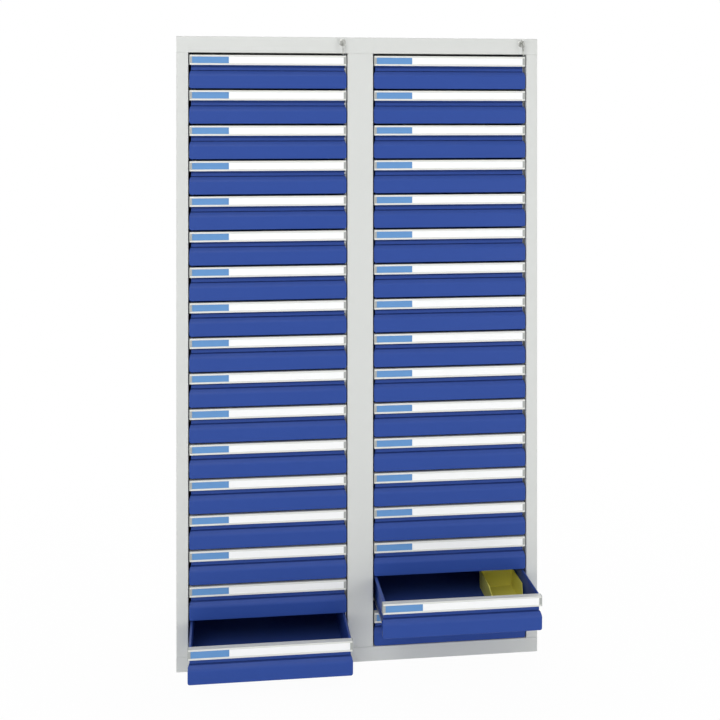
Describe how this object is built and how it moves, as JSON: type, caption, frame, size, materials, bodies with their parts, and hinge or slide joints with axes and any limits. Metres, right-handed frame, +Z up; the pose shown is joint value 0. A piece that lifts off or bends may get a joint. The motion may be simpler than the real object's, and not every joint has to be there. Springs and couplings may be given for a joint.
{
  "type": "drawer cabinet",
  "caption": "Tall steel cabinet with side-by-side banks of shallow lockable drawers, each with a full-width handle and label rail, on roller runners.",
  "frame": {"origin": "on the floor, under the middle of the cabinet's base", "axes": "+X to the right seen from the front, the front faces -Y, +Z up"},
  "size_m": [1.042, 0.675, 1.79],
  "materials": {
    "cabinet_paint": "light grey powder coat, low sheen",
    "drawer_paint": "ultramarine powder coat, low sheen",
    "rail_aluminium": "satin light grey coated extrusion",
    "cap_plastic": "matt grey moulding",
    "label_card": "white card behind a clear strip",
    "index_card": "light blue card behind a clear strip",
    "zinc_steel": "bright zinc plated",
    "nickel_steel": "nickel plated",
    "roller_nylon": "off-white nylon",
    "bin_plastic": "yellow moulded plastic"
  },
  "bodies": {
    "cabinet": {"side_panel_left": "cabinet_paint", "side_panel_right": "cabinet_paint", "centre_partition": "cabinet_paint", "top_panel": "cabinet_paint", "base_panel": "cabinet_paint", "back_panel": "cabinet_paint", "runners_left": "zinc_steel", "runners_right": "zinc_steel", "front_rollers": "roller_nylon", "roller_axles": "zinc_steel", "lock_housings": "nickel_steel", "lock_nuts": "nickel_steel", "bar_guides": "zinc_steel"},
    "lock_left": {"lock_plug_left": "nickel_steel", "key_left": "nickel_steel", "lock_cam_left": "zinc_steel"},
    "ring_left": {"key_ring_left": "nickel_steel"},
    "spare_left": {"spare_key_left": "nickel_steel"},
    "bar_left": {"locking_bar_left": "zinc_steel"},
    "lock_right": {"lock_plug_right": "nickel_steel", "key_right": "nickel_steel", "lock_cam_right": "zinc_steel"},
    "ring_right": {"key_ring_right": "nickel_steel"},
    "spare_right": {"spare_key_right": "nickel_steel"},
    "bar_right": {"locking_bar_right": "zinc_steel"},
    "drawer_left_01": {"drawer_left_01": "drawer_paint"},
    "drawer_left_02": {"drawer_left_02": "drawer_paint"},
    "drawer_left_03": {"drawer_left_03": "drawer_paint"},
    "drawer_left_04": {"drawer_left_04": "drawer_paint"},
    "drawer_left_05": {"drawer_left_05": "drawer_paint"},
    "drawer_left_06": {"drawer_left_06": "drawer_paint"},
    "drawer_left_07": {"drawer_left_07": "drawer_paint"},
    "drawer_left_08": {"drawer_left_08": "drawer_paint"},
    "drawer_left_09": {"drawer_left_09": "drawer_paint"},
    "drawer_left_10": {"drawer_left_10": "drawer_paint"},
    "drawer_left_11": {"drawer_left_11": "drawer_paint"},
    "drawer_left_12": {"drawer_left_12": "drawer_paint"},
    "drawer_left_13": {"drawer_left_13": "drawer_paint"},
    "drawer_left_14": {"drawer_left_14": "drawer_paint"},
    "drawer_left_15": {"drawer_left_15": "drawer_paint"},
    "drawer_left_16": {"drawer_left_16": "drawer_paint"},
    "drawer_left_17": {"drawer_left_17": "drawer_paint"},
    "drawer_right_01": {"drawer_right_01": "drawer_paint"},
    "drawer_right_02": {"drawer_right_02": "drawer_paint"},
    "drawer_right_03": {"drawer_right_03": "drawer_paint"},
    "drawer_right_04": {"drawer_right_04": "drawer_paint"},
    "drawer_right_05": {"drawer_right_05": "drawer_paint"},
    "drawer_right_06": {"drawer_right_06": "drawer_paint"},
    "drawer_right_07": {"drawer_right_07": "drawer_paint"},
    "drawer_right_08": {"drawer_right_08": "drawer_paint"},
    "drawer_right_09": {"drawer_right_09": "drawer_paint"},
    "drawer_right_10": {"drawer_right_10": "drawer_paint"},
    "drawer_right_11": {"drawer_right_11": "drawer_paint"},
    "drawer_right_12": {"drawer_right_12": "drawer_paint"},
    "drawer_right_13": {"drawer_right_13": "drawer_paint"},
    "drawer_right_14": {"drawer_right_14": "drawer_paint"},
    "drawer_right_15": {"drawer_right_15": "drawer_paint"},
    "drawer_right_16": {"drawer_right_16": "drawer_paint", "open_bin": "bin_plastic"},
    "drawer_right_17": {"drawer_right_17": "drawer_paint"}
  },
  "joints": [
    {"name": "lift_bar_left", "type": "slide", "parent": "cabinet", "child": "bar_left", "axis": [0, 0, 1], "range_m": [-0.00919, 0]},
    {"name": "turn_lock_left", "type": "hinge", "parent": "cabinet", "child": "lock_left", "pos_m": [-0.052, -0.25, 1.775], "axis": [0, 1, 0], "range_deg": [0, 90]},
    {"name": "hang_ring_left", "type": "hinge", "parent": "lock_left", "child": "ring_left", "pos_m": [-0.052, -0.27, 1.76972], "axis": [0, 1, 0], "range_deg": [-90, 0]},
    {"name": "swing_spare_left", "type": "hinge", "parent": "ring_left", "child": "spare_left", "pos_m": [-0.052, -0.27, 1.762], "axis": [-1, 0, 0], "range_deg": [-15, 45]},
    {"name": "lift_bar_right", "type": "slide", "parent": "cabinet", "child": "bar_right", "axis": [0, 0, 1], "range_m": [-0.00919, 0]},
    {"name": "turn_lock_right", "type": "hinge", "parent": "cabinet", "child": "lock_right", "pos_m": [0.473, -0.25, 1.775], "axis": [0, 1, 0], "range_deg": [0, 90]},
    {"name": "hang_ring_right", "type": "hinge", "parent": "lock_right", "child": "ring_right", "pos_m": [0.473, -0.27, 1.76972], "axis": [0, 1, 0], "range_deg": [-90, 0]},
    {"name": "swing_spare_right", "type": "hinge", "parent": "ring_right", "child": "spare_right", "pos_m": [0.473, -0.27, 1.762], "axis": [-1, 0, 0], "range_deg": [-15, 45]},
    {"name": "slide_left_01", "type": "slide", "parent": "cabinet", "child": "drawer_left_01", "axis": [0, -1, 0], "range_m": [0, 0.34]},
    {"name": "slide_left_02", "type": "slide", "parent": "cabinet", "child": "drawer_left_02", "axis": [0, -1, 0], "range_m": [0, 0.34]},
    {"name": "slide_left_03", "type": "slide", "parent": "cabinet", "child": "drawer_left_03", "axis": [0, -1, 0], "range_m": [0, 0.34]},
    {"name": "slide_left_04", "type": "slide", "parent": "cabinet", "child": "drawer_left_04", "axis": [0, -1, 0], "range_m": [0, 0.34]},
    {"name": "slide_left_05", "type": "slide", "parent": "cabinet", "child": "drawer_left_05", "axis": [0, -1, 0], "range_m": [0, 0.34]},
    {"name": "slide_left_06", "type": "slide", "parent": "cabinet", "child": "drawer_left_06", "axis": [0, -1, 0], "range_m": [0, 0.34]},
    {"name": "slide_left_07", "type": "slide", "parent": "cabinet", "child": "drawer_left_07", "axis": [0, -1, 0], "range_m": [0, 0.34]},
    {"name": "slide_left_08", "type": "slide", "parent": "cabinet", "child": "drawer_left_08", "axis": [0, -1, 0], "range_m": [0, 0.34]},
    {"name": "slide_left_09", "type": "slide", "parent": "cabinet", "child": "drawer_left_09", "axis": [0, -1, 0], "range_m": [0, 0.34]},
    {"name": "slide_left_10", "type": "slide", "parent": "cabinet", "child": "drawer_left_10", "axis": [0, -1, 0], "range_m": [0, 0.34]},
    {"name": "slide_left_11", "type": "slide", "parent": "cabinet", "child": "drawer_left_11", "axis": [0, -1, 0], "range_m": [0, 0.34]},
    {"name": "slide_left_12", "type": "slide", "parent": "cabinet", "child": "drawer_left_12", "axis": [0, -1, 0], "range_m": [0, 0.34]},
    {"name": "slide_left_13", "type": "slide", "parent": "cabinet", "child": "drawer_left_13", "axis": [0, -1, 0], "range_m": [0, 0.34]},
    {"name": "slide_left_14", "type": "slide", "parent": "cabinet", "child": "drawer_left_14", "axis": [0, -1, 0], "range_m": [0, 0.34]},
    {"name": "slide_left_15", "type": "slide", "parent": "cabinet", "child": "drawer_left_15", "axis": [0, -1, 0], "range_m": [0, 0.34]},
    {"name": "slide_left_16", "type": "slide", "parent": "cabinet", "child": "drawer_left_16", "axis": [0, -1, 0], "range_m": [0, 0.34]},
    {"name": "slide_left_17", "type": "slide", "parent": "cabinet", "child": "drawer_left_17", "axis": [0, -1, 0], "range_m": [-0.163, 0.177]},
    {"name": "slide_right_01", "type": "slide", "parent": "cabinet", "child": "drawer_right_01", "axis": [0, -1, 0], "range_m": [0, 0.34]},
    {"name": "slide_right_02", "type": "slide", "parent": "cabinet", "child": "drawer_right_02", "axis": [0, -1, 0], "range_m": [0, 0.34]},
    {"name": "slide_right_03", "type": "slide", "parent": "cabinet", "child": "drawer_right_03", "axis": [0, -1, 0], "range_m": [0, 0.34]},
    {"name": "slide_right_04", "type": "slide", "parent": "cabinet", "child": "drawer_right_04", "axis": [0, -1, 0], "range_m": [0, 0.34]},
    {"name": "slide_right_05", "type": "slide", "parent": "cabinet", "child": "drawer_right_05", "axis": [0, -1, 0], "range_m": [0, 0.34]},
    {"name": "slide_right_06", "type": "slide", "parent": "cabinet", "child": "drawer_right_06", "axis": [0, -1, 0], "range_m": [0, 0.34]},
    {"name": "slide_right_07", "type": "slide", "parent": "cabinet", "child": "drawer_right_07", "axis": [0, -1, 0], "range_m": [0, 0.34]},
    {"name": "slide_right_08", "type": "slide", "parent": "cabinet", "child": "drawer_right_08", "axis": [0, -1, 0], "range_m": [0, 0.34]},
    {"name": "slide_right_09", "type": "slide", "parent": "cabinet", "child": "drawer_right_09", "axis": [0, -1, 0], "range_m": [0, 0.34]},
    {"name": "slide_right_10", "type": "slide", "parent": "cabinet", "child": "drawer_right_10", "axis": [0, -1, 0], "range_m": [0, 0.34]},
    {"name": "slide_right_11", "type": "slide", "parent": "cabinet", "child": "drawer_right_11", "axis": [0, -1, 0], "range_m": [0, 0.34]},
    {"name": "slide_right_12", "type": "slide", "parent": "cabinet", "child": "drawer_right_12", "axis": [0, -1, 0], "range_m": [0, 0.34]},
    {"name": "slide_right_13", "type": "slide", "parent": "cabinet", "child": "drawer_right_13", "axis": [0, -1, 0], "range_m": [0, 0.34]},
    {"name": "slide_right_14", "type": "slide", "parent": "cabinet", "child": "drawer_right_14", "axis": [0, -1, 0], "range_m": [0, 0.34]},
    {"name": "slide_right_15", "type": "slide", "parent": "cabinet", "child": "drawer_right_15", "axis": [0, -1, 0], "range_m": [0, 0.34]},
    {"name": "slide_right_16", "type": "slide", "parent": "cabinet", "child": "drawer_right_16", "axis": [0, -1, 0], "range_m": [-0.175, 0.165]},
    {"name": "slide_right_17", "type": "slide", "parent": "cabinet", "child": "drawer_right_17", "axis": [0, -1, 0], "range_m": [0, 0.34]}
  ],
  "couplings": [
    {"joint": "turn_lock_left", "follows": "lift_bar_left", "rad_per_m": -170.88},
    {"joint": "hang_ring_left", "follows": "lift_bar_left", "rad_per_m": 170.88},
    {"joint": "turn_lock_right", "follows": "lift_bar_right", "rad_per_m": -170.88},
    {"joint": "hang_ring_right", "follows": "lift_bar_right", "rad_per_m": 170.88}
  ]
}
